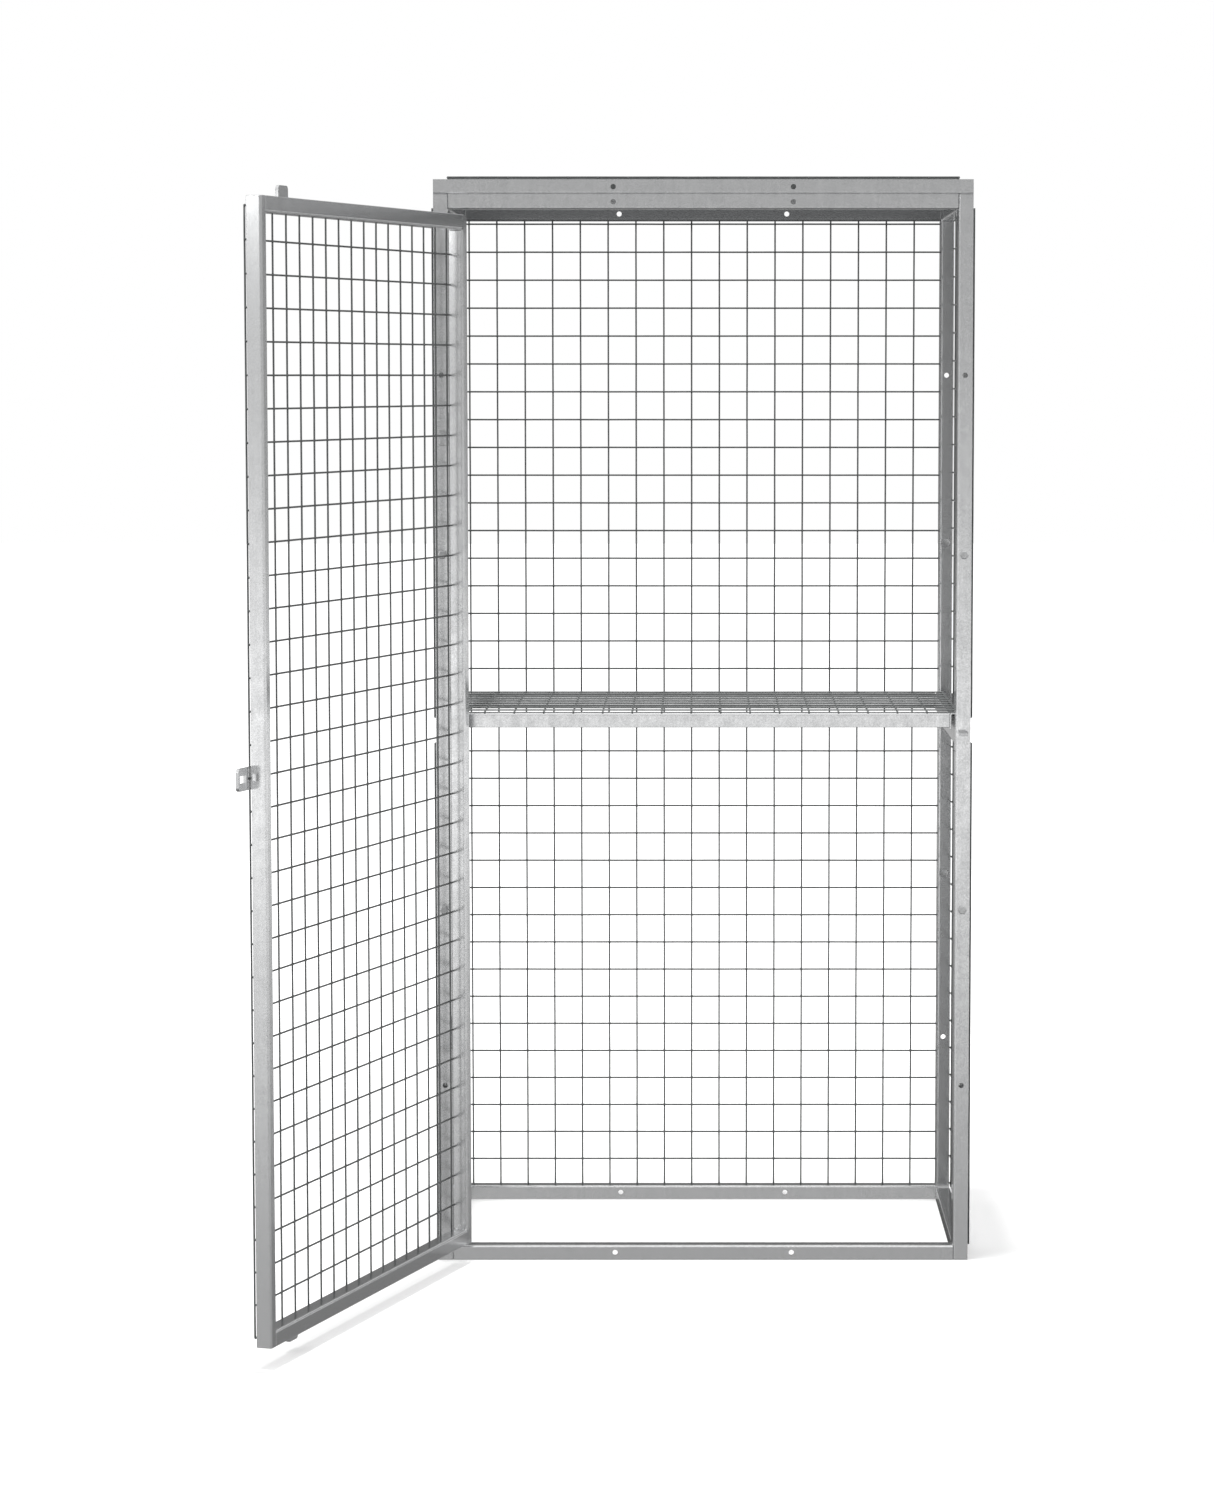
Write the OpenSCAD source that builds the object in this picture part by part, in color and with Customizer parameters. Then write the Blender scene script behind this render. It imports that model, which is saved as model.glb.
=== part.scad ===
// Gas cylinder cage: a welded steel angle frame with mesh panels, a mesh shelf and one mesh door.
// Origin: centre of the footprint on the ground. X to the right, Y to the back, Z up.
// The door stands open, as at rest, and turns about the two pin hinges on the left front upright.

/* [Cage] */
// Overall width of the frame
cage_w = 900; // [850:50:1000]
// Overall depth of the frame, mesh wires left out
cage_d = 550; // [500:50:700]
// Height of the uprights, below the roof frame
post_h = 1800; // [1700:50:1900]

/* [Steel angle] */
// Leg of the rolled angle
leg = 25; // [22:1:28]
// Thickness of the rolled angle
thick = 3; // [2.5:0.5:4]
// Radius at the inner edge of each toe
toe_r = 1.5; // [0.5:0.5:2]
// Radius in the root of the angle
root_r = 2; // [1:0.5:3]
// Radius round the heel of the angle
heel_r = 4; // [2:0.5:5]
// Gap at a butted end, filled by the weld
butt_gap = 0.3; // [0.1:0.1:0.5]

/* [Mesh] */
// Spacing of the wires
pitch = 50; // [40:5:60]
// Diameter of the round wire
wire_d = 3; // [2.5:0.5:4]
// Least length of a cut wire end past the last crossing
wire_stub = 1; // [0.5:0.5:3]
// Distance from the ground to the lowest wire of the side mesh
side_mesh_z = 30; // [28:1:32]
// How far the back mesh sits off centre, to the right
back_shift = 4.6; // [0:0.2:5]
// Distance from the ground to the lowest wire of the back mesh
back_mesh_z = 20.3; // [19:0.1:21.5]

/* [Side rail and shelf] */
// Height of the middle rail's lower edge above the ground
mid_z = 877; // [800:1:950]
// Depth of the shelf's front and back fascias
fascia_h = 25; // [20:1:30]
// Depth of the shelf's side members, which hook over the middle rails
shelf_side_h = 29; // [26:1:36]
// Clearance between the shelf's hanging sides and the middle rails
shelf_clear = 4; // [3:0.5:6]
// Clearance between the shelf and the stiles in front and behind
shelf_end_gap = 1; // [0.5:0.5:3]

/* [Door] */
// Clearance round the closed door
door_gap = 10; // [8:1:14]
// Angle between the closed door and the door at rest
open_angle = 108.4; // [60:0.1:160]
// Distance from the front face of the frame back to the door's mesh when closed
door_setback = 1.5; // [0.5:0.5:3]
// Distance from the door's lower and upper edges to its outermost level wires
door_mesh_inset = 15; // [12:1:18]
// Distance from the hinge edge to the first upright wire
door_mesh_start = 28; // [24:1:30]
// Leg of the free stile's angle that lies in the plane of the door
free_leg = 17; // [15:1:25]

/* [Hinges] */
// Radius of a hinge barrel
barrel_r = 5; // [4.5:0.1:5.5]
// Length of a pair of knuckles
barrel_h = 55; // [45:1:70]
// Radius of the hinge pin
pin_r = 3; // [2.5:0.1:3.2]
// Clearance round the pin
pin_clear = 0.05; // [0.03:0.01:0.1]
// Gap between the two knuckles
knuckle_gap = 0.8; // [0.5:0.1:1.5]
// Height of the hinges above and below mid height
hinge_rise = 510; // [400:5:600]
// Distance from the hinge pin to the door's edge, sideways
pin_x = 3; // [2.5:0.1:4]
// Distance from the hinge pin back to the plane of the door's mesh
pin_y = 3.5; // [3:0.1:4]
// Thickness of the hinge leaves
leaf_t = 3; // [2:0.5:3]

/* [Lock] */
// Width of the tongue on the right upright
tongue_w = 15; // [12:1:16]
// How far the tongue stands out
tongue_l = 33; // [28:1:40]
// Thickness of the tongue, the hasp and the stop tabs
plate_t = 5; // [4:0.5:6]
// Radius of the padlock hole in the tongue
padlock_r = 4.5; // [3:0.5:5]
// Clearance round the tongue in the hasp's slot
slot_clear = 3.5; // [3:0.5:4]
// Height of the hasp plate
hasp_h = 34; // [30:1:40]
// Wall between the hasp's slot and its free end
hasp_end = 5; // [3:0.5:8]
// How far the hasp laps over the door's stile
hasp_lap = 20; // [14:1:24]

/* [Stop tabs] */
// Width of a stop tab
tab_w = 36; // [24:1:48]
// How far a stop tab stands past the door's edge
tab_reach = 20; // [15:1:22]
// How far a stop tab laps over the door's rail
tab_lap = 30; // [26:1:40]
// Distance from the door's hinge edge to the middle of a stop tab
tab_s = 688; // [400:1:740]
// Radius of the outer corners of the tabs and the hasp
corner_r = 6; // [3:1:8]

/* [Holes and bolts] */
// Radius of the frame's bolt holes
hole_r = 4.5; // [4.2:0.1:5]
// Half the spacing of the pair of holes in a cross rail
rail_hole_x = 150; // [100:10:250]
// Heights of the bolted holes in the uprights
bolt_z = [600, 1200];
// Heights of the spare holes in the uprights
spare_z = [300, 1500];
// Radius of the bolt's shank
bolt_r = 4; // [3.5:0.1:4]
// Width across the flats of the bolt's head and nut
bolt_af = 13; // [12:0.5:14]
// Height of the bolt's head
head_h = 5.5; // [4:0.5:6.5]
// Height of the nut
nut_h = 6.5; // [5:0.5:7]

/* [Hidden] */
$fn = 48;

steel = "#a9abac";
wire_grey = "#6f7475";
bolt_grey = "#8e9092";

// A square bar with as much steel as the round wire, to a hundredth
wire = round(wire_d * sqrt(PI) * 50) / 100;
half_w = cage_w / 2;
inner_x = half_w - leg;
front_y = -cage_d / 2;
back_y = cage_d / 2;
side_y0 = front_y + leg;
side_y1 = back_y - leg;
rail_y0 = side_y0 + leg;
rail_y1 = side_y1 - leg;
roof_z = post_h;
frame_top = post_h + leg;
// The middle rail is two angles toe to toe
mid_top = mid_z + 2 * leg;
upright_hole_x = half_w - leg / 2;

// Door, measured from the hinge edge and the plane of its mesh
door_w = 2 * (inner_x - door_gap);
door_z0 = leg + door_gap;
door_z1 = post_h - leg - door_gap;
door_x0 = -inner_x + door_gap;
door_y0 = front_y + door_setback;
pin_at = [door_x0 - pin_x, door_y0 - pin_y];
lattice_n = wire / 2;
door_flange_n = lattice_n + leg;
door_cols = floor((door_w - door_mesh_start) / pitch);
door_rows = floor((door_z1 - door_z0 - 2 * door_mesh_inset) / pitch);
door_mesh_z0 = (door_z0 + door_z1) / 2 - door_rows * pitch / 2;
door_split = floor(door_rows / 2);
lock_z = post_h / 2;
slot_w = tongue_w + 2 * slot_clear;
slot_h = plate_t + 2 * slot_clear;

// Rolled angle whose faces meet at the origin, with legs a along +X and b along +Y
module angle_profile(a = leg, b = leg) {
  difference() {
    union() {
      toed_leg(a);
      mirror([1, -1]) toed_leg(b);
      translate([thick, thick]) square(root_r);
    }
    translate([thick + root_r, thick + root_r]) circle(root_r);
    difference() {
      translate([-1, -1]) square(heel_r + 1);
      translate([heel_r, heel_r]) circle(heel_r);
    }
  }
}

module toed_leg(a) {
  square([a - toe_r, thick]);
  square([a, thick - toe_r]);
  translate([a - toe_r, thick - toe_r]) circle(toe_r);
}

// Upright length of angle along Z, legs towards dx and dy
module upright_angle(x, y, dx, dy, z0, z1, a = leg) {
  translate([x, y, z0]) scale_legs(dx, dy) linear_extrude(z1 - z0) angle_profile(a);
}

module scale_legs(dx, dy) {
  mirror([dx < 0 ? 1 : 0, 0, 0]) mirror([0, dy < 0 ? 1 : 0, 0]) children();
}

// Level length of angle along X from x0 to x1, legs towards dy and dz
module cross_angle(x0, x1, y, z, dy, dz, b = leg) {
  translate([x0, y, z]) mirror([0, dy < 0 ? 1 : 0, 0]) mirror([0, 0, dz < 0 ? 1 : 0])
    rotate([90, 0, 90]) linear_extrude(x1 - x0) angle_profile(leg, b);
}

// Level length of angle along Y from y0 to y1, legs towards dx and dz
module depth_angle(y0, y1, x, z, dx, dz, b = leg) {
  translate([x, y1, z]) mirror([dx < 0 ? 1 : 0, 0, 0]) mirror([0, 0, dz < 0 ? 1 : 0])
    rotate([90, 0, 0]) linear_extrude(y1 - y0) angle_profile(leg, b);
}

// Flat lattice of fused bars, drawn in XY: columns and rows of bars, each with its own overhang
module lattice(cols, rows, x_over = [0, 0], y_over = [0, 0]) {
  linear_extrude(wire) {
    for (i = [0 : cols])
      translate([i * pitch - wire / 2, -wire / 2 - y_over[0]])
        square([wire, rows * pitch + wire + y_over[0] + y_over[1]]);
    for (j = [0 : rows])
      translate([-wire / 2 - x_over[0], j * pitch - wire / 2])
        square([cols * pitch + wire + x_over[0] + x_over[1], wire]);
  }
}

// Cylinder along Y from y0 to y1, for holes and shanks
module along_y(x, z, r, y0, y1) {
  translate([x, y1, z]) rotate([90, 0, 0]) cylinder(h = y1 - y0, r = r);
}

// Bolt holes and spare holes along Y in an upright of either side
module upright_holes(side, y0, y1) {
  for (z = concat(bolt_z, spare_z))
    along_y(side * upright_hole_x, z, hole_r, y0, y1);
}

// Pair of holes along Y in a cross rail whose holes lie at height z
module rail_holes(z, y0, y1) {
  for (x = [-rail_hole_x, rail_hole_x])
    along_y(x, z, hole_r, y0, y1);
}

// Front frame: its second legs line the doorway

module front_upright(side) {
  color(steel) difference() {
    upright_angle(side * inner_x, front_y, side, 1, 0, post_h);
    upright_holes(side, front_y - 1, front_y + thick + 1);
  }
}

module front_header() {
  color(steel) difference() {
    cross_angle(-inner_x + butt_gap, inner_x - butt_gap, front_y, post_h - leg, 1, 1);
    rail_holes(post_h - leg / 2, front_y - 1, front_y + thick + 1);
  }
}

module front_base_rail() {
  color(steel) difference() {
    cross_angle(-inner_x + butt_gap, inner_x - butt_gap, front_y, leg, 1, -1);
    rail_holes(leg / 2, front_y - 1, front_y + thick + 1);
  }
}

// Side panels: the stiles' outer legs close the panel's ends, and the mesh lies on the outside

module side_front_stile(side) {
  color(steel) difference() {
    upright_angle(side * inner_x, side_y0, side, 1, 0, post_h);
    upright_holes(side, side_y0 - 1, side_y0 + thick + 1);
  }
}

module side_rear_stile(side) {
  color(steel) difference() {
    upright_angle(side * inner_x, side_y1, side, -1, 0, post_h);
    upright_holes(side, side_y1 - thick - 1, side_y1 + 1);
  }
}

module side_rail(side, z, dz) {
  color(steel) depth_angle(rail_y0 + butt_gap, rail_y1 - butt_gap, side * inner_x, z, side, dz);
}

module side_mid_rail(side) {
  side_rail(side, mid_z, 1);
  side_rail(side, mid_top, -1);
}

// One mesh of a side, with its lowest wire at z0, reaching from z_lo to z_hi on the rails
module side_mesh(side, z0, z_lo, z_hi) {
  cols = floor((side_y1 - side_y0) / pitch);
  rows = floor((z_hi - z0) / pitch);
  y_over = max(wire_stub, (side_y1 - side_y0 - cols * pitch) / 2);
  z_over = max(0, z_hi - z0 - rows * pitch - wire / 2);
  color(wire_grey) translate([side > 0 ? half_w : -half_w - wire, -cols * pitch / 2, z0])
    rotate([90, 0, 90]) lattice(cols, rows, [y_over, y_over], [max(0, z0 - wire / 2 - z_lo), z_over]);
}

module side_lower_mesh(side) {
  side_mesh(side, side_mesh_z, leg - thick, mid_z + thick);
}

module side_upper_mesh(side) {
  side_mesh(side, mid_top - wire / 2, mid_top - thick, post_h - leg + thick);
}

// Back frame: its second legs line the mesh opening, and the mesh lies on the outside

module back_stile(side) {
  color(steel) difference() {
    upright_angle(side * inner_x, side_y1, side, 1, 0, post_h);
    upright_holes(side, side_y1 - 1, side_y1 + thick + 1);
  }
}

module back_top_rail() {
  color(steel) difference() {
    cross_angle(-inner_x + butt_gap, inner_x - butt_gap, side_y1, post_h - leg, 1, 1);
    rail_holes(post_h - leg / 2, side_y1 - 1, side_y1 + thick + 1);
  }
}

module back_bottom_rail() {
  color(steel) difference() {
    cross_angle(-inner_x + butt_gap, inner_x - butt_gap, side_y1, leg, 1, -1);
    rail_holes(leg / 2, side_y1 - 1, side_y1 + thick + 1);
  }
}

back_cols = floor(2 * inner_x / pitch);
back_rows = floor((post_h - leg + thick - back_mesh_z) / pitch);
back_split = floor(back_rows / 2);
back_x0 = back_shift - back_cols * pitch / 2;
back_over_left = max(wire_stub, back_x0 - wire / 2 + inner_x + thick);
back_over_right = max(wire_stub, inner_x + thick - back_x0 - back_cols * pitch - wire / 2);

module back_mesh(first, last, below, above) {
  color(wire_grey) translate([back_x0, back_y + wire, back_mesh_z + first * pitch]) rotate([90, 0, 0])
    lattice(back_cols, last - first, [back_over_left, back_over_right], [below, above]);
}

module back_lower_mesh() {
  back_mesh(0, back_split, wire_stub, 0);
}

module back_upper_mesh() {
  top = back_mesh_z + back_rows * pitch + wire / 2;
  back_mesh(back_split + 1, back_rows, pitch - wire, max(0, post_h - leg + thick - top));
}

// Roof frame on top of the uprights, with its mesh lying on it

module roof_front_rail() {
  color(steel) difference() {
    cross_angle(-half_w, half_w, front_y, roof_z, 1, 1);
    rail_holes(roof_z + leg / 2, front_y - 1, front_y + thick + 1);
  }
}

module roof_rear_rail() {
  color(steel) difference() {
    cross_angle(-half_w, half_w, back_y, roof_z, -1, 1);
    rail_holes(roof_z + leg / 2, back_y - thick - 1, back_y + 1);
  }
}

module roof_side_rails() {
  color(steel) for (side = [-1, 1])
    depth_angle(side_y0 + butt_gap, side_y1 - butt_gap, side * inner_x, roof_z, side, 1);
}

module roof_mesh() {
  cols = floor((2 * inner_x + thick) / pitch);
  rows = floor(cage_d / pitch);
  x_over = max(wire_stub, (2 * inner_x + thick - cols * pitch - wire) / 2);
  y_over = max(wire_stub, (cage_d - rows * pitch - wire) / 2);
  color(wire_grey) translate([-cols * pitch / 2, -rows * pitch / 2, frame_top])
    lattice(cols, rows, [x_over, x_over], [y_over, y_over]);
}

// Shelf, hooked over the middle rails between the stiles

shelf_x = inner_x - shelf_clear - thick;
shelf_z = mid_top + thick;
shelf_y0 = rail_y0 + shelf_end_gap;
shelf_y1 = rail_y1 - shelf_end_gap;

module shelf_front_fascia() {
  color(steel) cross_angle(-shelf_x, shelf_x, shelf_y0, shelf_z, 1, -1, fascia_h);
}

module shelf_rear_fascia() {
  color(steel) cross_angle(-shelf_x, shelf_x, shelf_y1, shelf_z, -1, -1, fascia_h);
}

module shelf_side_members() {
  color(steel) for (side = [-1, 1])
    depth_angle(shelf_y0, shelf_y1, side * shelf_x, shelf_z, side, -1, shelf_side_h);
}

module shelf_mesh() {
  cols = floor(2 * (shelf_x + leg) / pitch);
  rows = floor((shelf_y1 - shelf_y0) / pitch);
  y_over = (shelf_y1 - shelf_y0 - rows * pitch - wire) / 2;
  color(wire_grey) translate([back_shift - cols * pitch / 2, -rows * pitch / 2, shelf_z])
    lattice(cols, rows, [wire_stub, wire_stub], [y_over, y_over]);
}

// Bolts through the front frame and the side stiles, and through the side stiles and the back frame

module hex_along_y(x, z, y0, y1) {
  translate([x, y1, z]) rotate([90, 0, 0]) rotate(30) cylinder(h = y1 - y0, r = bolt_af / sqrt(3), $fn = 6);
}

module bolt(x, z, head_y, nut_y) {
  away = nut_y > head_y ? 1 : -1;
  hex_along_y(x, z, min(head_y, head_y - away * head_h), max(head_y, head_y - away * head_h));
  hex_along_y(x, z, min(nut_y, nut_y + away * nut_h), max(nut_y, nut_y + away * nut_h));
  along_y(x, z, bolt_r, min(head_y, nut_y), max(head_y, nut_y));
}

module front_bolts() {
  color(bolt_grey) for (side = [-1, 1], z = bolt_z)
    bolt(side * upright_hole_x, z, front_y, side_y0 + thick);
}

module rear_bolts() {
  color(bolt_grey) for (side = [-1, 1], z = bolt_z)
    bolt(side * upright_hole_x, z, side_y1 + thick, side_y1 - thick);
}

// Hinges: the frame carries the lower knuckle with its pin, and the door the upper knuckle

hinge_z = [post_h / 2 - hinge_rise, post_h / 2 + hinge_rise];

module hinge_frame_knuckles() {
  color(steel) for (z = hinge_z) translate([pin_at.x, pin_at.y, z]) {
    translate([0, 0, -barrel_h / 2]) cylinder(h = (barrel_h - knuckle_gap) / 2, r = barrel_r);
    translate([0, 0, -barrel_h / 2]) cylinder(h = barrel_h, r = pin_r);
    translate([-inner_x - 2 * leg / 3 - pin_at.x, front_y - leaf_t - pin_at.y, -barrel_h / 2])
      cube([inner_x + 2 * leg / 3 + pin_at.x, leaf_t, (barrel_h - knuckle_gap) / 2]);
  }
}

// Everything on the door is drawn closed and then swung open about the pins
module swung() {
  translate([pin_at.x, pin_at.y, 0]) rotate(-open_angle) translate([-pin_at.x, -pin_at.y, 0]) children();
}

module hinge_door_knuckles() {
  color(steel) swung() for (z = hinge_z) translate([pin_at.x, pin_at.y, z + knuckle_gap / 2]) {
    difference() {
      union() {
        cylinder(h = (barrel_h - knuckle_gap) / 2, r = barrel_r);
        translate([door_x0 - leaf_t - pin_at.x, 0, 0]) cube([leaf_t, leg, (barrel_h - knuckle_gap) / 2]);
      }
      translate([0, 0, -1]) cylinder(h = barrel_h, r = pin_r + pin_clear);
    }
  }
}

// Door frame: closed, its inner face lies at door_inner_y
door_inner_y = door_y0 + door_flange_n;
door_x1 = door_x0 + door_w;

module door_hinge_stile() {
  color(steel) swung() upright_angle(door_x0, door_inner_y, 1, -1, door_z0, door_z1);
}

module door_free_stile() {
  color(steel) swung() upright_angle(door_x1, door_inner_y, -1, -1, door_z0, door_z1, free_leg);
}

module door_rail(z, dz) {
  color(steel) swung()
    cross_angle(door_x0 + leg + butt_gap, door_x1 - free_leg - butt_gap, door_inner_y, z, -1, dz);
}

module door_mesh(first, last, below) {
  free_over = max(wire_stub, door_w - thick / 2 - door_mesh_start - door_cols * pitch - wire / 2);
  color(wire_grey) swung()
    translate([door_x0 + door_mesh_start, door_y0 + wire / 2, door_mesh_z0 + first * pitch])
      rotate([90, 0, 0]) lattice(door_cols, last - first, [wire_stub, free_over], [below, 0]);
}

// Plate in the plane of the door, on the outside of its mesh, from x0 to x1 and z0 to z1 when closed,
// with its outer corners rounded at the end named: "top", "bottom" or "right"
module door_plate(x0, x1, z0, z1, end) {
  translate([0, door_y0 - wire / 2, 0]) rotate([90, 0, 0]) linear_extrude(plate_t) difference() {
    translate([x0, z0]) square([x1 - x0, z1 - z0]);
    if (end != "bottom") corner_cut(x1, z1, 1, 1);
    if (end != "top") corner_cut(x1, z0, 1, -1);
    if (end == "top") corner_cut(x0, z1, -1, 1);
    if (end == "bottom") corner_cut(x0, z0, -1, -1);
  }
}

module corner_cut(x, z, dx, dz) {
  translate([x - dx * corner_r, z - dz * corner_r]) difference() {
    translate([dx > 0 ? 0 : -corner_r - 1, dz > 0 ? 0 : -corner_r - 1]) square(corner_r + 1);
    circle(corner_r);
  }
}

module door_stop_tabs() {
  x0 = door_x0 + tab_s - tab_w / 2;
  color(steel) swung() {
    door_plate(x0, x0 + tab_w, door_z1 - tab_lap, door_z1 + tab_reach, "top");
    door_plate(x0, x0 + tab_w, door_z0 - tab_reach, door_z0 + tab_lap, "bottom");
  }
}

// Hasp plate, whose slot passes over the tongue
module door_hasp() {
  slot_x0 = upright_hole_x - slot_w / 2;
  color(steel) swung() difference() {
    door_plate(door_x1 - hasp_lap, slot_x0 + slot_w + hasp_end, lock_z - hasp_h / 2, lock_z + hasp_h / 2, "right");
    translate([slot_x0, door_y0 - wire / 2 - plate_t - 1, lock_z - slot_h / 2])
      cube([slot_w, plate_t + 2, slot_h]);
  }
}

// Tongue on the right upright, with its hole for a padlock
module lock_tongue() {
  tip = tongue_w / 3;
  color(steel) translate([upright_hole_x, front_y, lock_z - plate_t / 2]) linear_extrude(plate_t) difference() {
    union() {
      translate([-tongue_w / 2, tip - tongue_l]) square([tongue_w, tongue_l - tip]);
      translate([tip - tongue_w / 2, -tongue_l]) square([tongue_w - 2 * tip, tip]);
      for (side = [-1, 1])
        translate([side * (tongue_w / 2 - tip), tip - tongue_l]) circle(tip);
    }
    translate([0, tongue_w / 2 + tip / 2 - tongue_l]) circle(padlock_r);
  }
}

front_upright(-1);  // front_left_upright
front_upright(1);  // front_right_upright
front_header();
front_base_rail();
side_front_stile(-1);  // left_side_front_stile
side_rear_stile(-1);  // left_side_rear_stile
side_rail(-1, post_h - leg, 1);  // left_side_top_rail
side_mid_rail(-1);  // left_side_mid_rail
side_rail(-1, leg, -1);  // left_side_bottom_rail
side_upper_mesh(-1);  // left_side_upper_mesh
side_lower_mesh(-1);  // left_side_lower_mesh
side_front_stile(1);  // right_side_front_stile
side_rear_stile(1);  // right_side_rear_stile
side_rail(1, post_h - leg, 1);  // right_side_top_rail
side_mid_rail(1);  // right_side_mid_rail
side_rail(1, leg, -1);  // right_side_bottom_rail
side_upper_mesh(1);  // right_side_upper_mesh
side_lower_mesh(1);  // right_side_lower_mesh
back_stile(-1);  // back_left_stile
back_stile(1);  // back_right_stile
back_top_rail();
back_bottom_rail();
back_upper_mesh();
back_lower_mesh();
roof_front_rail();
roof_rear_rail();
roof_side_rails();
roof_mesh();
shelf_front_fascia();
shelf_rear_fascia();
shelf_side_members();
shelf_mesh();
front_bolts();
rear_bolts();
hinge_frame_knuckles();
lock_tongue();
door_hinge_stile();
door_free_stile();
door_rail(door_z1 - leg, 1);  // door_top_rail
door_rail(door_z0 + leg, -1);  // door_bottom_rail
door_mesh(door_split + 1, door_rows, pitch - wire);  // door_upper_mesh
door_mesh(0, door_split, 0);  // door_lower_mesh
door_stop_tabs();
door_hasp();
hinge_door_knuckles();
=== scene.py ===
# Gas cylinder cage: the looks of a galvanised steel cage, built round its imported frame.
# Sizes are in metres, in the part's own frame: X right, Y back, Z up, the ground at 0.
import math
import random

import bpy
from mathutils import Matrix, Vector


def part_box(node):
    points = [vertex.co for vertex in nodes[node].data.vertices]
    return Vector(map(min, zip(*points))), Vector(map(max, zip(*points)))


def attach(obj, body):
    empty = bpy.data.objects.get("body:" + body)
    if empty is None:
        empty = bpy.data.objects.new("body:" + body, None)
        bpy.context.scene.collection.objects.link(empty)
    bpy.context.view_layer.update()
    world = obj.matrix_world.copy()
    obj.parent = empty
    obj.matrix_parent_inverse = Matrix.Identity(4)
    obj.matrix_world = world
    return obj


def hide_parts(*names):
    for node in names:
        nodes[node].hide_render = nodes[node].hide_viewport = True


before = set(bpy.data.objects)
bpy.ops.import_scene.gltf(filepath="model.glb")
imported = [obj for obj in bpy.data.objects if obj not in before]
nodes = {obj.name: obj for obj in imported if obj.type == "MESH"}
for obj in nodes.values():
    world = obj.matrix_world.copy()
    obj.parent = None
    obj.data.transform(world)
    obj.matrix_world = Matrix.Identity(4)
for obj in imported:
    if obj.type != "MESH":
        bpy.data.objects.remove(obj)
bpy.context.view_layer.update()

# The photograph's viewpoint: a long lens about seven metres in front of the cage,
# a little above its middle and tilted down five degrees, with the frame shifted sideways.
PHOTO_LONG_SIDE = 1502
FOCAL_PIXELS = 4168.0
SENSOR = 36.0
lens_data = bpy.data.cameras.new("photo_camera")
lens_data.sensor_width = SENSOR
lens_data.lens = SENSOR * FOCAL_PIXELS / PHOTO_LONG_SIDE
lens_data.shift_x = -91.5 / PHOTO_LONG_SIDE
lens_data.shift_y = -1.8 / PHOTO_LONG_SIDE
lens_data.clip_end = 100.0
camera = bpy.data.objects.new("photo_camera", lens_data)
camera.location = (-0.008, -7.2662, 1.5004)
camera.rotation_euler = (math.radians(84.87), 0.0, 0.0)
bpy.context.scene.collection.objects.link(camera)
bpy.context.scene.camera = camera

# Hot rolled steel angle, hot dip galvanised after welding: the zinc has a soft cloudy bloom,
# a fine grain, and faint runs down the uprights. Rolling and zinc ease the edges. The rail high
# at the back gets a darker copy of the zinc: painted shade for the shade under the roof's edge.
def node_group(name, inputs, outputs):
    group = bpy.data.node_groups.new(name, "ShaderNodeTree")
    for label, kind, value in inputs:
        socket = group.interface.new_socket(name=label, in_out="INPUT", socket_type=kind)
        socket.default_value = value
    for label, kind in outputs:
        group.interface.new_socket(name=label, in_out="OUTPUT", socket_type=kind)
    return group, group.nodes.new("NodeGroupInput"), group.nodes.new("NodeGroupOutput")


def add_node(tree, kind, settings=(), values=()):
    node = tree.nodes.new(kind)
    for key, value in dict(settings).items():
        setattr(node, key, value)
    for key, value in dict(values).items():
        node.inputs[key].default_value = value
    return node


def chain(tree, *pairs):
    for source, target in pairs:
        tree.links.new(source, target)


FLOAT, COLOR = "NodeSocketFloat", "NodeSocketColor"
zinc, zinc_in, zinc_out = node_group(
    "zinc_bloom",
    [
        ("Dark", COLOR, (0.5, 0.5, 0.5, 1)),
        ("Light", COLOR, (0.8, 0.8, 0.8, 1)),
        ("Bloom Size", FLOAT, 0.02),
        ("Grain Size", FLOAT, 0.0012),
        ("Smooth", FLOAT, 0.25),
        ("Rough", FLOAT, 0.45),
    ],
    [("Color", COLOR), ("Roughness", FLOAT), ("Height", FLOAT)],
)
place = add_node(zinc, "ShaderNodeTexCoord")


def size_to_scale(size_socket):
    node = add_node(zinc, "ShaderNodeMath", {"operation": "DIVIDE"}, {0: 1.0})
    chain(zinc, (size_socket, node.inputs[1]))
    return node.outputs[0]


bloom_scale = size_to_scale(zinc_in.outputs["Bloom Size"])
grain_scale = size_to_scale(zinc_in.outputs["Grain Size"])
cloud = add_node(zinc, "ShaderNodeTexNoise", {"noise_dimensions": "3D"}, {"Detail": 5.0, "Roughness": 0.62})
spangle = add_node(zinc, "ShaderNodeTexVoronoi", {"feature": "SMOOTH_F1"}, {"Smoothness": 0.35, "Randomness": 1.0})
grain = add_node(zinc, "ShaderNodeTexNoise", {"noise_dimensions": "3D"}, {"Detail": 2.0, "Roughness": 0.7})
warp = add_node(zinc, "ShaderNodeMixRGB", {"blend_type": "LINEAR_LIGHT"}, {0: 0.012})
squeeze = add_node(zinc, "ShaderNodeMapping", {}, {"Scale": (1.0, 1.0, 0.06)})
runs = add_node(zinc, "ShaderNodeTexNoise", {"noise_dimensions": "3D"}, {"Scale": 160.0, "Detail": 3.0})
chain(
    zinc,
    (place.outputs["Object"], cloud.inputs["Vector"]),
    (bloom_scale, cloud.inputs["Scale"]),
    (place.outputs["Object"], warp.inputs[1]),
    (cloud.outputs["Color"], warp.inputs[2]),
    (warp.outputs[0], spangle.inputs["Vector"]),
    (bloom_scale, spangle.inputs["Scale"]),
    (place.outputs["Object"], grain.inputs["Vector"]),
    (grain_scale, grain.inputs["Scale"]),
    (place.outputs["Object"], squeeze.inputs["Vector"]),
    (squeeze.outputs[0], runs.inputs["Vector"]),
)
spangle_grey = add_node(zinc, "ShaderNodeSeparateColor")
chain(zinc, (spangle.outputs["Color"], spangle_grey.inputs[0]))


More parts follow.
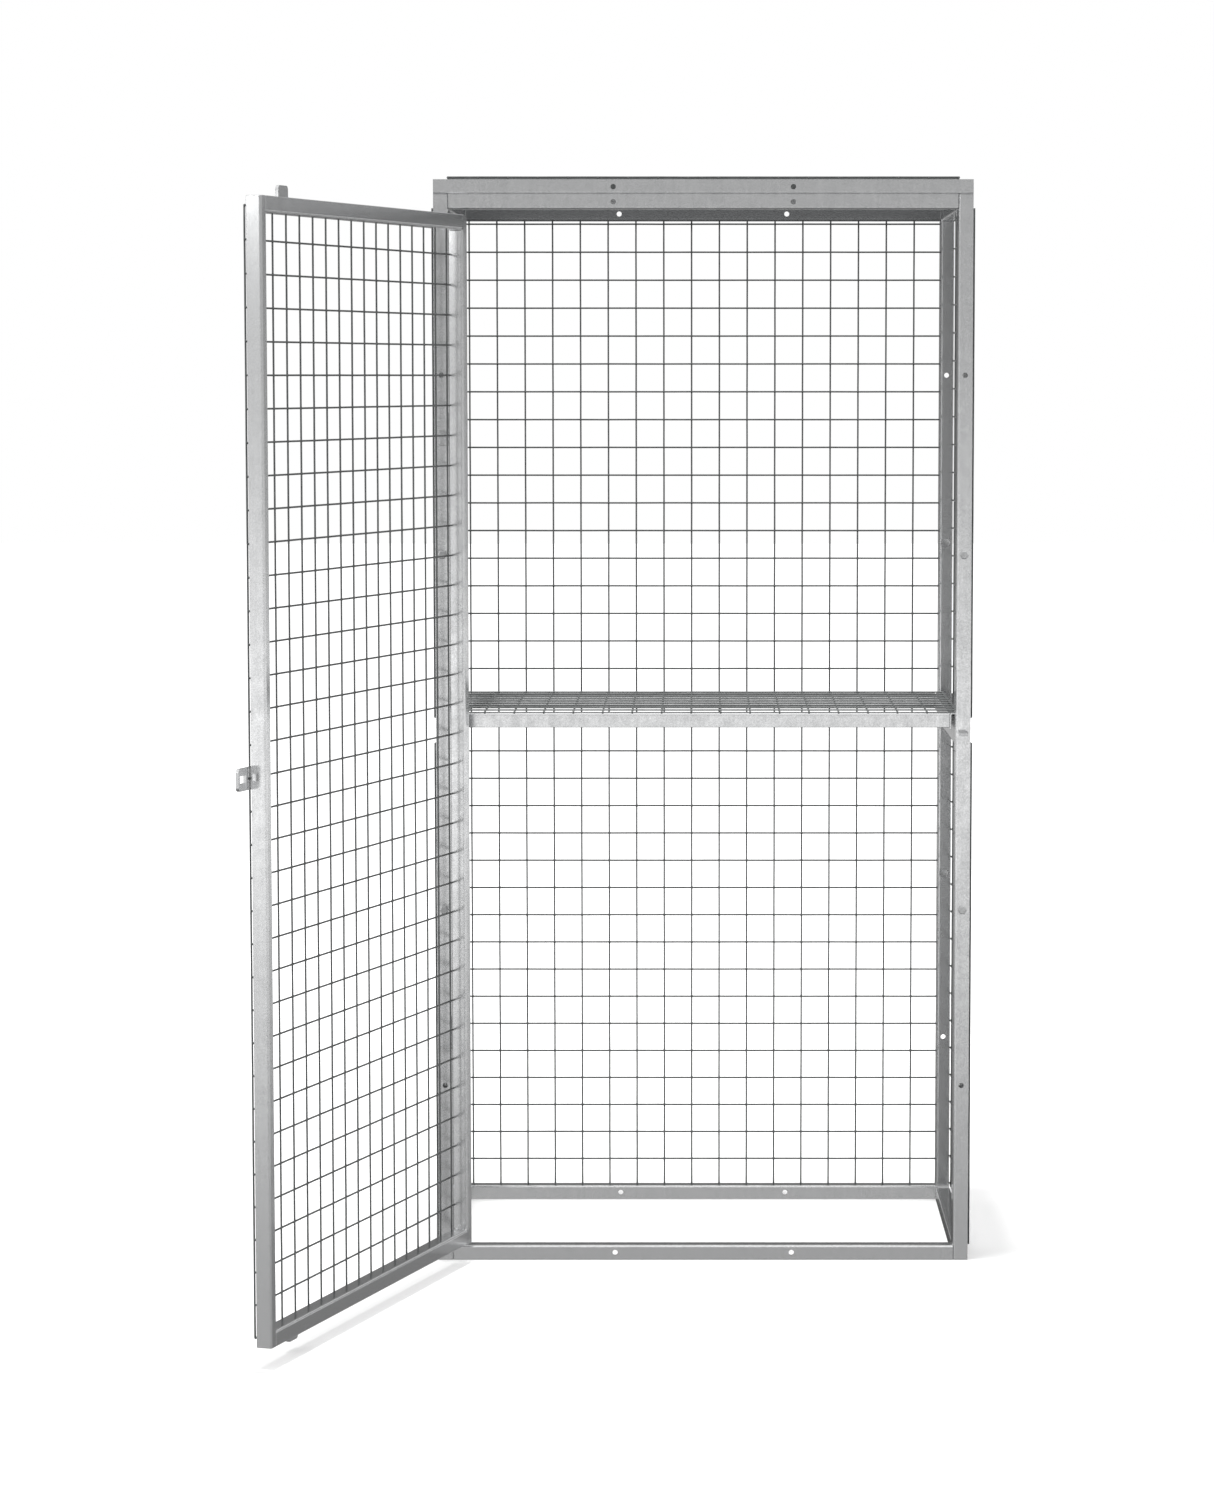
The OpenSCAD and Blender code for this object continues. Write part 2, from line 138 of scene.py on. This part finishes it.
def weighted(socket, weight, before=None):
    node = add_node(zinc, "ShaderNodeMath", {"operation": "MULTIPLY_ADD"}, {1: weight, 2: 0.0})
    chain(zinc, (socket, node.inputs[0]))
    if before is not None:
        chain(zinc, (before, node.inputs[2]))
    return node.outputs[0]


mottle = weighted(cloud.outputs[0], 0.55)
mottle = weighted(spangle_grey.outputs[0], 0.12, mottle)
mottle = weighted(grain.outputs[0], 0.95, mottle)
mottle = weighted(runs.outputs[0], 0.35, mottle)
mottle_range = add_node(
    zinc, "ShaderNodeMapRange", {}, {"From Min": 0.62, "From Max": 1.36, "To Min": 0.0, "To Max": 1.0}
)
chain(zinc, (mottle, mottle_range.inputs["Value"]))
zinc_color = add_node(zinc, "ShaderNodeMixRGB")
zinc_rough = add_node(zinc, "ShaderNodeMapRange", {}, {"From Min": 0.0, "From Max": 1.0})
zinc_height = weighted(grain.outputs[0], 0.25)
zinc_height = weighted(cloud.outputs[0], 1.0, zinc_height)
chain(
    zinc,
    (mottle_range.outputs[0], zinc_color.inputs[0]),
    (zinc_in.outputs["Dark"], zinc_color.inputs[1]),
    (zinc_in.outputs["Light"], zinc_color.inputs[2]),
    (mottle_range.outputs[0], zinc_rough.inputs["Value"]),
    (zinc_in.outputs["Rough"], zinc_rough.inputs["To Min"]),
    (zinc_in.outputs["Smooth"], zinc_rough.inputs["To Max"]),
    (zinc_color.outputs[0], zinc_out.inputs["Color"]),
    (zinc_rough.outputs[0], zinc_out.inputs["Roughness"]),
    (zinc_height, zinc_out.inputs["Height"]),
)


def zinc_material(name, dark, light, bloom, grain_size, smooth, rough, bump, metallic=1.0):
    made = bpy.data.materials.new(name)
    made.use_nodes = True
    tree = made.node_tree
    shader = tree.nodes["Principled BSDF"]
    shader.inputs["Metallic"].default_value = metallic
    look = add_node(
        tree,
        "ShaderNodeGroup",
        {"node_tree": zinc},
        {
            "Dark": (*dark, 1),
            "Light": (*light, 1),
            "Bloom Size": bloom,
            "Grain Size": grain_size,
            "Smooth": smooth,
            "Rough": rough,
        },
    )
    relief = add_node(tree, "ShaderNodeBump", {}, {"Strength": 1.0, "Distance": bump})
    chain(
        tree,
        (look.outputs["Color"], shader.inputs["Base Color"]),
        (look.outputs["Roughness"], shader.inputs["Roughness"]),
        (look.outputs["Height"], relief.inputs["Height"]),
        (relief.outputs["Normal"], shader.inputs["Normal"]),
    )
    return made


angle_zinc = zinc_material(
    "galvanised angle", (0.58, 0.585, 0.59), (0.80, 0.805, 0.81), 0.020, 0.0024, 0.14, 0.22, 0.00002
)
EDGE_EASE = 0.0009
FLAT_ENOUGH = math.radians(1.0)
SHARP_ENOUGH = math.radians(40.0)


def dress(node_name, material, ease=EDGE_EASE):
    node = nodes[node_name]
    node.data.materials.clear()
    node.data.materials.append(material)
    weld = node.modifiers.new("close", "WELD")
    weld.merge_threshold = 0.00001
    flatten = node.modifiers.new("flatten", "DECIMATE")
    flatten.decimate_type = "DISSOLVE"
    flatten.angle_limit = FLAT_ENOUGH
    bevel = node.modifiers.new("ease", "BEVEL")
    bevel.width = ease
    bevel.segments = 2
    bevel.limit_method = "ANGLE"
    bevel.angle_limit = SHARP_ENOUGH
    soften = node.modifiers.new("soften", "WEIGHTED_NORMAL")
    soften.weight = 100


NOT_ANGLE = ("mesh", "bolts", "knuckles", "tongue", "tabs", "hasp")
# Painted shade: a darker copy of the angle's zinc, given to the back's top rail for the shade it lies in under the
# roof's edge.
painted_shade_zinc = zinc_material(
    "galvanised angle, painted shade", (0.22, 0.225, 0.23), (0.34, 0.345, 0.35), 0.020, 0.0024, 0.18, 0.28, 0.00002
)
for node_name in nodes:
    if not node_name.endswith(NOT_ANGLE):
        dress(node_name, painted_shade_zinc if node_name == "back_top_rail" else angle_zinc)

# Small plates and hinge knuckles: cut from flat bar and round bar, welded on and galvanised
# with the rest, so they are smoother and a little darker than the angle.
plate_zinc = zinc_material(
    "galvanised plate", (0.50, 0.505, 0.51), (0.72, 0.725, 0.73), 0.016, 0.0010, 0.18, 0.28, 0.00002
)
PLATES = ("hinge_frame_knuckles", "hinge_door_knuckles", "lock_tongue", "door_stop_tabs", "door_hasp")
for node_name in PLATES:
    dress(node_name, plate_zinc)

# Welded mesh: 3 mm drawn wire at 50 mm, resistance welded so that the crossing wires sink into
# each other, then galvanised. The level wires lie against the frame and the upright ones outside.
# The shelf's wires get a lighter copy of the wire's zinc: painted light for the light their tops catch from above.
WIRE_R = 0.0015
LAYER_STEP = 0.0016
WIRE_SIDES = 10
WAVER = 0.0001
CUT_CHAMFER = 0.0004
NUGGET_R = 0.0024
NUGGET_RINGS = 4
NUGGET_SIDES = 8
# Painted shade: the wire's zinc is given a far darker tone than the angle's, standing in for the dark surroundings the
# thin round wires reflect.
painted_shade_wire_zinc = zinc_material(
    "galvanised wire, painted shade", (0.09, 0.096, 0.096), (0.22, 0.227, 0.227), 0.012, 0.0009, 0.24, 0.36, 0.00001
)
# Painted light: a lighter copy of the wire's zinc for the shelf, standing in for the light its wires catch from above.
painted_light_shelf_zinc = zinc_material(
    "galvanised shelf wire, painted light", (0.18, 0.19, 0.19), (0.36, 0.37, 0.37), 0.012, 0.0009, 0.24, 0.36, 0.00001
)


class Shape:
    """Points and faces gathered for one piece."""

    def __init__(self):
        self.points = []
        self.faces = []

    def ring(self, centre, across, up, radius, sides):
        first = len(self.points)
        for k in range(sides):
            a = 2 * math.pi * k / sides
            self.points.append(centre + across * (radius * math.cos(a)) + up * (radius * math.sin(a)))
        return first

    def bridge(self, a, b, sides):
        for k in range(sides):
            n = (k + 1) % sides
            self.faces.append((a + k, a + n, b + n, b + k))

    def cap(self, first, sides, flip):
        ring = list(range(first, first + sides))
        self.faces.append(tuple(reversed(ring)) if flip else tuple(ring))

    def lathe(self, stations, across, up, sides):
        """Rings of the given (centre, radius), joined in order and capped at both ends."""
        rings = [self.ring(c, across, up, r, sides) for c, r in stations]
        self.cap(rings[0], sides, True)
        for a, b in zip(rings, rings[1:]):
            self.bridge(a, b, sides)
        self.cap(rings[-1], sides, False)

    def piece(self, name, material, body, smooth_below=math.radians(50)):
        mesh = bpy.data.meshes.new(name)
        mesh.from_pydata([tuple(p) for p in self.points], [], self.faces)
        mesh.validate()
        mesh.polygons.foreach_set("use_smooth", [True] * len(mesh.polygons))
        mesh.set_sharp_from_angle(angle=smooth_below)
        mesh.materials.append(material)
        made = bpy.data.objects.new(name, mesh)
        bpy.context.scene.collection.objects.link(made)
        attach(made, body)
        return made


def frame_of(direction):
    along = direction.normalized()
    helper = Vector((0, 0, 1)) if abs(along.z) < 0.9 else Vector((1, 0, 0))
    across = helper.cross(along).normalized()
    return along, across, along.cross(across)


def wire(shape, start, end, steps, rng):
    along, across, up = frame_of(end - start)
    stations = [(start, WIRE_R - CUT_CHAMFER), (start + along * CUT_CHAMFER, WIRE_R)]
    for k in range(1, steps):
        drift = across * rng.uniform(-WAVER, WAVER) + up * rng.uniform(-WAVER, WAVER)
        stations.append((start.lerp(end, k / steps) + drift, WIRE_R))
    stations += [(end - along * CUT_CHAMFER, WIRE_R), (end, WIRE_R - CUT_CHAMFER)]
    shape.lathe(stations, across, up, WIRE_SIDES)


def nugget(shape, centre, normal, radius=NUGGET_R, height=NUGGET_R * 0.6):
    along, across, up = frame_of(normal)
    stations = []
    for k in range(NUGGET_RINGS):
        a = math.pi * (k + 0.5) / NUGGET_RINGS
        stations.append((centre - along * (height * math.cos(a)), radius * math.sin(a)))
    shape.lathe(stations, across, up, NUGGET_SIDES)


def welded_mesh(name, replaced, body, origin, right, up, normal, cols, rows, over, seed, coat=painted_shade_wire_zinc):
    """cols and rows count the spaces; over is how far wires pass the outer ones: left, right, low, high.
    normal points away from the frame; the wires along right touch it and those along up lie outside."""
    rng = random.Random(seed)
    pitch = 0.05
    shape = Shape()
    level_at = origin + normal * WIRE_R
    upright_at = origin + normal * (WIRE_R + LAYER_STEP)
    left, right_over, low, high = over
    for j in range(rows + 1):
        base = level_at + up * (j * pitch)
        wire(shape, base - right * left, base + right * (cols * pitch + right_over), cols, rng)
    for i in range(cols + 1):
        base = upright_at + right * (i * pitch)
        wire(shape, base - up * low, base + up * (rows * pitch + high), rows, rng)
    for i in range(cols + 1):
        for j in range(rows + 1):
            nugget(shape, origin + normal * (WIRE_R + LAYER_STEP / 2) + right * (i * pitch) + up * (j * pitch), normal)
    made = shape.piece(name, coat, body)
    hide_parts(*replaced)
    return made


X, Y, Z = Vector((1, 0, 0)), Vector((0, 1, 0)), Vector((0, 0, 1))
PITCH = 0.05
MESH_BAR = 0.00266


def spaces(length):
    return int((length - MESH_BAR) / PITCH + 0.02)


def overs(low, high, first, count):
    return first - low, high - (first + count * PITCH)


for side_name, side in (("left", -1), ("right", 1)):
    for k, part in enumerate(("lower", "upper")):
        node_name = f"{side_name}_side_{part}_mesh"
        low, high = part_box(node_name)
        rows = 17
        first_z = 0.03 if part == "lower" else 0.92567
        z_low, z_high = overs(low.z, high.z, first_z, rows)
        face = min(abs(low.x), abs(high.x)) * side
        welded_mesh(
            f"{side_name}_side_{part}_wires", [node_name], "cage",
            Vector((face, -0.25, first_z)), Y, Z, X * side, 10, rows,
            (0.0025, 0.0025, z_low, z_high), 10 + k + 2 * (side > 0),
        )
low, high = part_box("back_lower_mesh")
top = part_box("back_upper_mesh")[1].z
first_x, first_z, cols, rows = -0.4204, 0.0203, 17, 35
x_low, x_high = overs(low.x, high.x, first_x, cols)
z_low, z_high = overs(low.z, top, first_z, rows)
welded_mesh(
    "back_wires", ["back_lower_mesh", "back_upper_mesh"], "cage",
    Vector((first_x, low.y, first_z)), X, Z, Y, cols, rows, (x_low, x_high, z_low, z_high), 20,
)
low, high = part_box("roof_mesh")
welded_mesh(
    "roof_wires", ["roof_mesh"], "cage",
    Vector((-0.425, -0.275, low.z)), Y, X, Z, 11, 17,
    (-0.275 - low.y, high.y - 0.275, 0.0015, 0.0015), 21,
)
low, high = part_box("shelf_mesh")
welded_mesh(
    "shelf_wires", ["shelf_mesh"], "cage",
    Vector((-0.4204, -0.2, low.z)), Y, X, Z, 8, 17,
    (-0.2 - low.y, high.y - 0.2, 0.0025, 0.0025), 22, painted_light_shelf_zinc,
)

# The door's mesh is made like the others and hangs on the door. The door stands open at rest,
# so its pieces are placed with the same turn about the hinge pins.
PIN = Vector((-0.418, -0.277, 0.0))
OPEN = math.radians(-108.4)
turn = Matrix.Rotation(OPEN, 3, "Z")


def swung(point):
    return turn @ (Vector(point) - PIN) + PIN


DOOR_LEFT, DOOR_FACE, DOOR_LOW, DOOR_HIGH = -0.415, -0.27217, 0.035, 1.765
low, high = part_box("door_lower_mesh")
welded_mesh(
    "door_wires", ["door_lower_mesh", "door_upper_mesh"], "door",
    swung((DOOR_LEFT + 0.028, DOOR_FACE, 0.05)), turn @ X, Z, turn @ -Y, 16, 34,
    (0.0055, 0.0025, 0.0014, 0.0014), 30,
)

# The door's hinge stile: an angle with its heel at the opening, so that one leg lines the opening and
# the shorter one reaches toward the hinges. The lining leg is cut away where the rails meet it.
def arc(cx, cy, radius, start, end, steps=6):
    return [
        (cx + radius * math.cos(math.radians(a)), cy + radius * math.sin(math.radians(a)))
        for a in (start + (end - start) * k / steps for k in range(steps + 1))
    ]


def extruded(shape, outline, place, z0, z1):
    first = len(shape.points)
    for z in (z0, z1):
        shape.points += [place(x, y, z) for x, y in outline]
    count = len(outline)
    shape.bridge(first, first + count, count)
    shape.cap(first, count, True)
    shape.cap(first + count, count, False)


STILE_IN_FACE = -0.24717
STEEL, LEG, SHORT_LEG = 0.003, 0.025, 0.0175
HEEL_R, ROOT_R, TOE_R = 0.004, 0.002, 0.0015
LINED_LOW, LINED_HIGH = 0.0605, 1.7395


def stile_place(x, y, z):
    """x runs from the heel to the hinge edge, y from the inner face to the mesh, closed door."""
    return swung((DOOR_LEFT + LEG - x, STILE_IN_FACE - y, z))


def leg_end(x, y):
    return arc(x - TOE_R, y - TOE_R, TOE_R, 0, 90)


along_leg = [(SHORT_LEG, 0.0)] + leg_end(SHORT_LEG, STEEL)
lining_leg = [(y, x) for x, y in reversed([(LEG, 0.0)] + leg_end(LEG, STEEL))]
root = arc(STEEL + ROOT_R, STEEL + ROOT_R, ROOT_R, 270, 180)
heel = arc(HEEL_R, HEEL_R, HEEL_R, 180, 270)
shape = Shape()
extruded(shape, heel + along_leg + root + lining_leg, stile_place, LINED_LOW, LINED_HIGH)
for z0, z1 in ((DOOR_LOW, LINED_LOW), (LINED_HIGH, DOOR_HIGH)):
    extruded(shape, [(TOE_R, 0.0)] + along_leg + [(TOE_R, STEEL)] , stile_place, z0, z1)
made = shape.piece("door_hinge_stile_angle", angle_zinc, "door", math.radians(30))
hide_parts("door_hinge_stile")

# Stop tabs: short flat bars with rounded ends, welded behind the door's rails above and below.
# They meet the frame when the door closes.
TAB_MID, TAB_W, TAB_T, TAB_LAP, TAB_REACH, TAB_R = 0.688, 0.036, 0.005, 0.018, 0.020, 0.006
TAB_BACK = DOOR_FACE - 0.00266
shape = Shape()
for z_edge, up in ((DOOR_HIGH, 1), (DOOR_LOW, -1)):
    half_tab, reach = TAB_W / 2, TAB_REACH
    tab = [(-half_tab, -TAB_LAP), (half_tab, -TAB_LAP)]
    tab += arc(half_tab - TAB_R, reach - TAB_R, TAB_R, 0, 90) + arc(TAB_R - half_tab, reach - TAB_R, TAB_R, 90, 180)

    def tab_place(x, y, depth):
        return swung((DOOR_LEFT + TAB_MID + x, TAB_BACK - depth, z_edge + up * y))

    if up > 0:
        extruded(shape, tab, tab_place, 0.0, TAB_T)
    else:
        extruded(shape, tab[::-1], tab_place, 0.0, TAB_T)
made = shape.piece("door_stop_bars", plate_zinc, "door", math.radians(30))
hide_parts("door_stop_tabs")

# Welds: short fillet beads inside the corners of the front frame and the door, with the door's hinge
# leaves tied to its stile by small lugs. The zinc left a bright lump low in the door's hinge corner
# and a drip in the cage's upper right one.
BEAD_R, BEAD_STEP, BEAD_SIDES = 0.0018, 0.0022, 8
DOOR_FREE, FREE_LEG = 0.415, 0.017
INNER_X, FRONT_Y, HEAD_Z, BASE_Z = 0.425, -0.275, 1.775, 0.025
HINGE_Z, HALF_KNUCKLE, LUG_T = (0.39, 1.41), 0.0271, 0.003


def bead(shape, start, end, rng, radius=BEAD_R):
    along, across, up = frame_of(end - start)
    ripples = max(3, round((end - start).length / BEAD_STEP))
    stations = []
    for k in range(2 * ripples + 1):
        r = radius * (1.0 if k % 2 else 0.86) * rng.uniform(0.94, 1.06)
        if k in (0, 2 * ripples):
            r = radius * 0.45
        stations.append((start.lerp(end, k / (2 * ripples)), r))
    shape.lathe(stations, across, up, BEAD_SIDES)


rng = random.Random(40)
shape = Shape()
for side in (-1, 1):
    for z in (HEAD_Z, BASE_Z):
        x = side * (INNER_X - 0.0002)
        bead(shape, Vector((x, FRONT_Y + 0.0045, z)), Vector((x, FRONT_Y + 0.023, z)), rng)
drip_at = Vector((0.4264, -0.2245, 1.784))
bead(shape, drip_at, drip_at + Vector((0.0, 0.0005, -0.019)), rng, 0.0028)
shape.piece("frame_corner_welds", plate_zinc, "cage")

shape = Shape()
for z in (LINED_LOW - 0.0006, LINED_HIGH + 0.0006):
    for x in (DOOR_LEFT + LEG + 0.0012, DOOR_FREE - FREE_LEG - 0.0006):
        bead(shape, swung((x, DOOR_FACE + 0.003, z)), swung((x, STILE_IN_FACE - 0.0035, z)), rng)
nugget(shape, swung((DOOR_LEFT + LEG + 0.006, STILE_IN_FACE - 0.009, LINED_LOW)), Z, 0.0065, 0.0035)
for z in HINGE_Z:
    foot = z + 0.0004
    lug = [(-0.0005, 0.004), (0.0105, 0.004), (0.0105, 0.004 + LUG_T), (-0.0005, 0.004 + LUG_T)]

    def lug_place(x, y, height):
        return swung((DOOR_LEFT + x, STILE_IN_FACE - y + 0.001, height))

    extruded(shape, lug[::-1], lug_place, foot, foot + HALF_KNUCKLE)
    edge = (DOOR_LEFT + LEG - SHORT_LEG, STILE_IN_FACE - STEEL)
    bead(shape, swung((*edge, foot)), swung((*edge, foot + HALF_KNUCKLE)), rng)
shape.piece("door_corner_welds", plate_zinc, "door")

# Fixings: zinc plated M8 hexagon bolts and nuts through the uprights of the frames,
# each head chamfered on top and its nut run on to a threaded end.
bolt_zinc = zinc_material(
    "plated bolt", (0.42, 0.425, 0.43), (0.70, 0.705, 0.71), 0.006, 0.0006, 0.22, 0.36, 0.00001
)
BOLT_X, BOLT_Z = 0.4375, (0.6, 1.2)
HEX_ACROSS, HEAD_H, NUT_H, SHANK_R = 0.013, 0.0055, 0.0065, 0.004
THREAD_PITCH, THREAD_DEPTH, THREAD_SIDES = 0.00125, 0.0004, 20


def hexagon(shape, centre, axis, height, chamfer_start, chamfer_end):
    along, across, up = frame_of(axis)
    corner = HEX_ACROSS / math.sqrt(3)
    flat = HEX_ACROSS / 2
    cut = 0.0007
    stations = []
    if chamfer_start:
        stations += [(centre, flat * 0.94), (centre + along * cut, corner)]
    else:
        stations += [(centre, corner)]
    if chamfer_end:
        stations += [(centre + along * (height - cut), corner), (centre + along * height, flat * 0.94)]
    else:
        stations += [(centre + along * height, corner)]
    shape.lathe(stations, across, up, 6)


def threaded_end(shape, start, axis, length):
    along, across, up = frame_of(axis)
    stations = []
    turns = int(length / THREAD_PITCH * 2)
    for k in range(turns + 1):
        r = SHANK_R - (THREAD_DEPTH if k % 2 else 0.0)
        stations.append((start + along * (k * THREAD_PITCH / 2), r))
    stations.append((start + along * (length + THREAD_PITCH / 2), SHANK_R - 2 * THREAD_DEPTH))
    shape.lathe(stations, across, up, THREAD_SIDES)


def bolts(name, node_name, head_y, nut_y):
    shape = Shape()
    toward_nut = Y if nut_y > head_y else -Y
    for x in (-BOLT_X, BOLT_X):
        for z in BOLT_Z:
            head = Vector((x, head_y, z))
            nut = Vector((x, nut_y, z))
            hexagon(shape, head, -toward_nut, HEAD_H, False, True)
            hexagon(shape, nut, toward_nut, NUT_H - 0.0004, True, True)
            threaded_end(shape, head, toward_nut, abs(nut_y - head_y) + NUT_H + 0.0018)
    made = shape.piece(name, bolt_zinc, "cage", math.radians(20))
    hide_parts(node_name)


bolts("front_hex_bolts", "front_bolts", -0.275, -0.247)
bolts("rear_hex_bolts", "rear_bolts", 0.253, 0.247)

# The stage: a white floor and surround. The floor keeps the shadow, and the metal sees the pale
# studio round it: brightest in a band low in front, dim near the ground and behind the cage.
floor_mesh = bpy.data.meshes.new("floor")
FLOOR_HALF = 30.0
floor_mesh.from_pydata(
    [(x * FLOOR_HALF, y * FLOOR_HALF, -0.0006) for x, y in ((-1, -1), (1, -1), (1, 1), (-1, 1))], [], [(0, 1, 2, 3)]
)
floor = bpy.data.objects.new("floor", floor_mesh)
bpy.context.scene.collection.objects.link(floor)
floor.visible_glossy = False
floor_look = bpy.data.materials.new("pale floor")
floor_look.use_nodes = True
tree = floor_look.node_tree
tree.nodes.clear()
surface = add_node(tree, "ShaderNodeOutputMaterial")
paint = add_node(tree, "ShaderNodeBsdfDiffuse", {}, {"Color": (0.80, 0.80, 0.80, 1)})
glow = add_node(tree, "ShaderNodeEmission", {}, {"Color": (1, 1, 1, 1)})
painted = add_node(tree, "ShaderNodeAddShader")
rays = add_node(tree, "ShaderNodeLightPath")
spot = add_node(tree, "ShaderNodeTexCoord")
radius = add_node(tree, "ShaderNodeVectorMath", {"operation": "LENGTH"})
far = add_node(tree, "ShaderNodeMapRange", {}, {"From Min": 1.0, "From Max": 3.0, "To Min": 0.23, "To Max": 0.49})
seen = add_node(tree, "ShaderNodeMath", {"operation": "MAXIMUM"})
lift = add_node(tree, "ShaderNodeMath", {"operation": "MULTIPLY"})
chain(
    tree,
    (spot.outputs["Object"], radius.inputs[0]),
    (radius.outputs["Value"], far.inputs["Value"]),
    (rays.outputs["Is Camera Ray"], seen.inputs[0]),
    (rays.outputs["Is Transmission Ray"], seen.inputs[1]),
    (seen.outputs[0], lift.inputs[0]),
    (far.outputs[0], lift.inputs[1]),
    (lift.outputs[0], glow.inputs["Strength"]),
    (paint.outputs[0], painted.inputs[0]),
    (glow.outputs[0], painted.inputs[1]),
    (painted.outputs[0], surface.inputs["Surface"]),
)
floor_mesh.materials.append(floor_look)

world = bpy.data.worlds.new("studio")
bpy.context.scene.world = world
world.use_nodes = True
tree = world.node_tree
tree.nodes.clear()
sky = add_node(tree, "ShaderNodeOutputWorld")
white = add_node(tree, "ShaderNodeBackground", {}, {"Color": (1, 1, 1, 1), "Strength": 1.0})
studio = add_node(tree, "ShaderNodeBackground")
choose = add_node(tree, "ShaderNodeMixShader")
rays = add_node(tree, "ShaderNodeLightPath")
where = add_node(tree, "ShaderNodeTexCoord")
parts = add_node(tree, "ShaderNodeSeparateXYZ")
half = add_node(tree, "ShaderNodeMapRange", {}, {"From Min": -1.0, "From Max": 1.0})
STUDIO_LIGHT, BEHIND = 1.6, 0.28
fade = add_node(
    tree, "ShaderNodeMapRange", {},
    {"From Min": 0.65, "From Max": 1.0, "To Min": STUDIO_LIGHT, "To Max": STUDIO_LIGHT * BEHIND},
)
BRIGHT_SIDE = (-0.66, -0.75, 0.0)
toward = add_node(tree, "ShaderNodeVectorMath", {"operation": "DOT_PRODUCT"}, {1: BRIGHT_SIDE})
brighter = add_node(tree, "ShaderNodeMapRange", {}, {"From Min": 0.75, "From Max": 1.0, "To Min": 1.0, "To Max": 1.2})
strength = add_node(tree, "ShaderNodeMath", {"operation": "MULTIPLY"})
STUDIO_TONES = (
    (0.0, 0.14), (0.21, 0.16), (0.29, 0.48), (0.355, 0.46), (0.378, 0.12), (0.397, 0.12), (0.403, 0.24),
    (0.409, 0.34), (0.422, 0.45),
    (0.4295, 0.48), (0.4434, 0.61), (0.4503, 0.82), (0.459, 1.2), (0.4643, 0.88), (0.4712, 0.54),
    (0.4782, 0.35), (0.493, 0.34), (0.5, 0.34), (0.522, 0.29), (0.60, 0.30), (0.66, 0.55), (0.80, 0.75), (1.0, 0.80),
)
studio_tones = add_node(tree, "ShaderNodeValToRGB")
studio_tones.color_ramp.elements.remove(studio_tones.color_ramp.elements[1])
for k, (stop, level) in enumerate(STUDIO_TONES):
    element = studio_tones.color_ramp.elements.new(stop) if k else studio_tones.color_ramp.elements[0]
    element.position = stop
    element.color = (level, level, level, 1)
chain(
    tree,
    (where.outputs["Generated"], parts.inputs[0]),
    (where.outputs["Generated"], toward.inputs[0]),
    (parts.outputs["Y"], fade.inputs["Value"]),
    (parts.outputs["Z"], half.inputs["Value"]),
    (half.outputs[0], studio_tones.inputs[0]),
    (toward.outputs["Value"], brighter.inputs["Value"]),
    (brighter.outputs[0], strength.inputs[0]),
    (fade.outputs[0], strength.inputs[1]),
    (studio_tones.outputs[0], studio.inputs["Color"]),
    (strength.outputs[0], studio.inputs["Strength"]),
    (rays.outputs["Is Glossy Ray"], choose.inputs[0]),
    (white.outputs[0], choose.inputs[1]),
    (studio.outputs[0], choose.inputs[2]),
    (choose.outputs[0], sky.inputs["Surface"]),
)


def lamp(name, at, toward, size, power):
    data = bpy.data.lights.new(name, "AREA")
    data.shape = "DISK"
    data.size = size
    data.energy = power
    made = bpy.data.objects.new(name, data)
    made.location = at
    made.rotation_euler = (Vector(toward) - Vector(at)).to_track_quat("-Z", "Y").to_euler()
    bpy.context.scene.collection.objects.link(made)
    return made


overhead = lamp("overhead lamp", (-0.35, -0.5, 12.0), (-0.35, -0.5, 0), 1.0, 900)
overhead.visible_glossy = False
lamp("front lamp", (-3.7, -4.4, 2.2), (-0.68, -1.05, 1.75), 0.3, 2.6)
bpy.context.scene.view_settings.view_transform = "Standard"
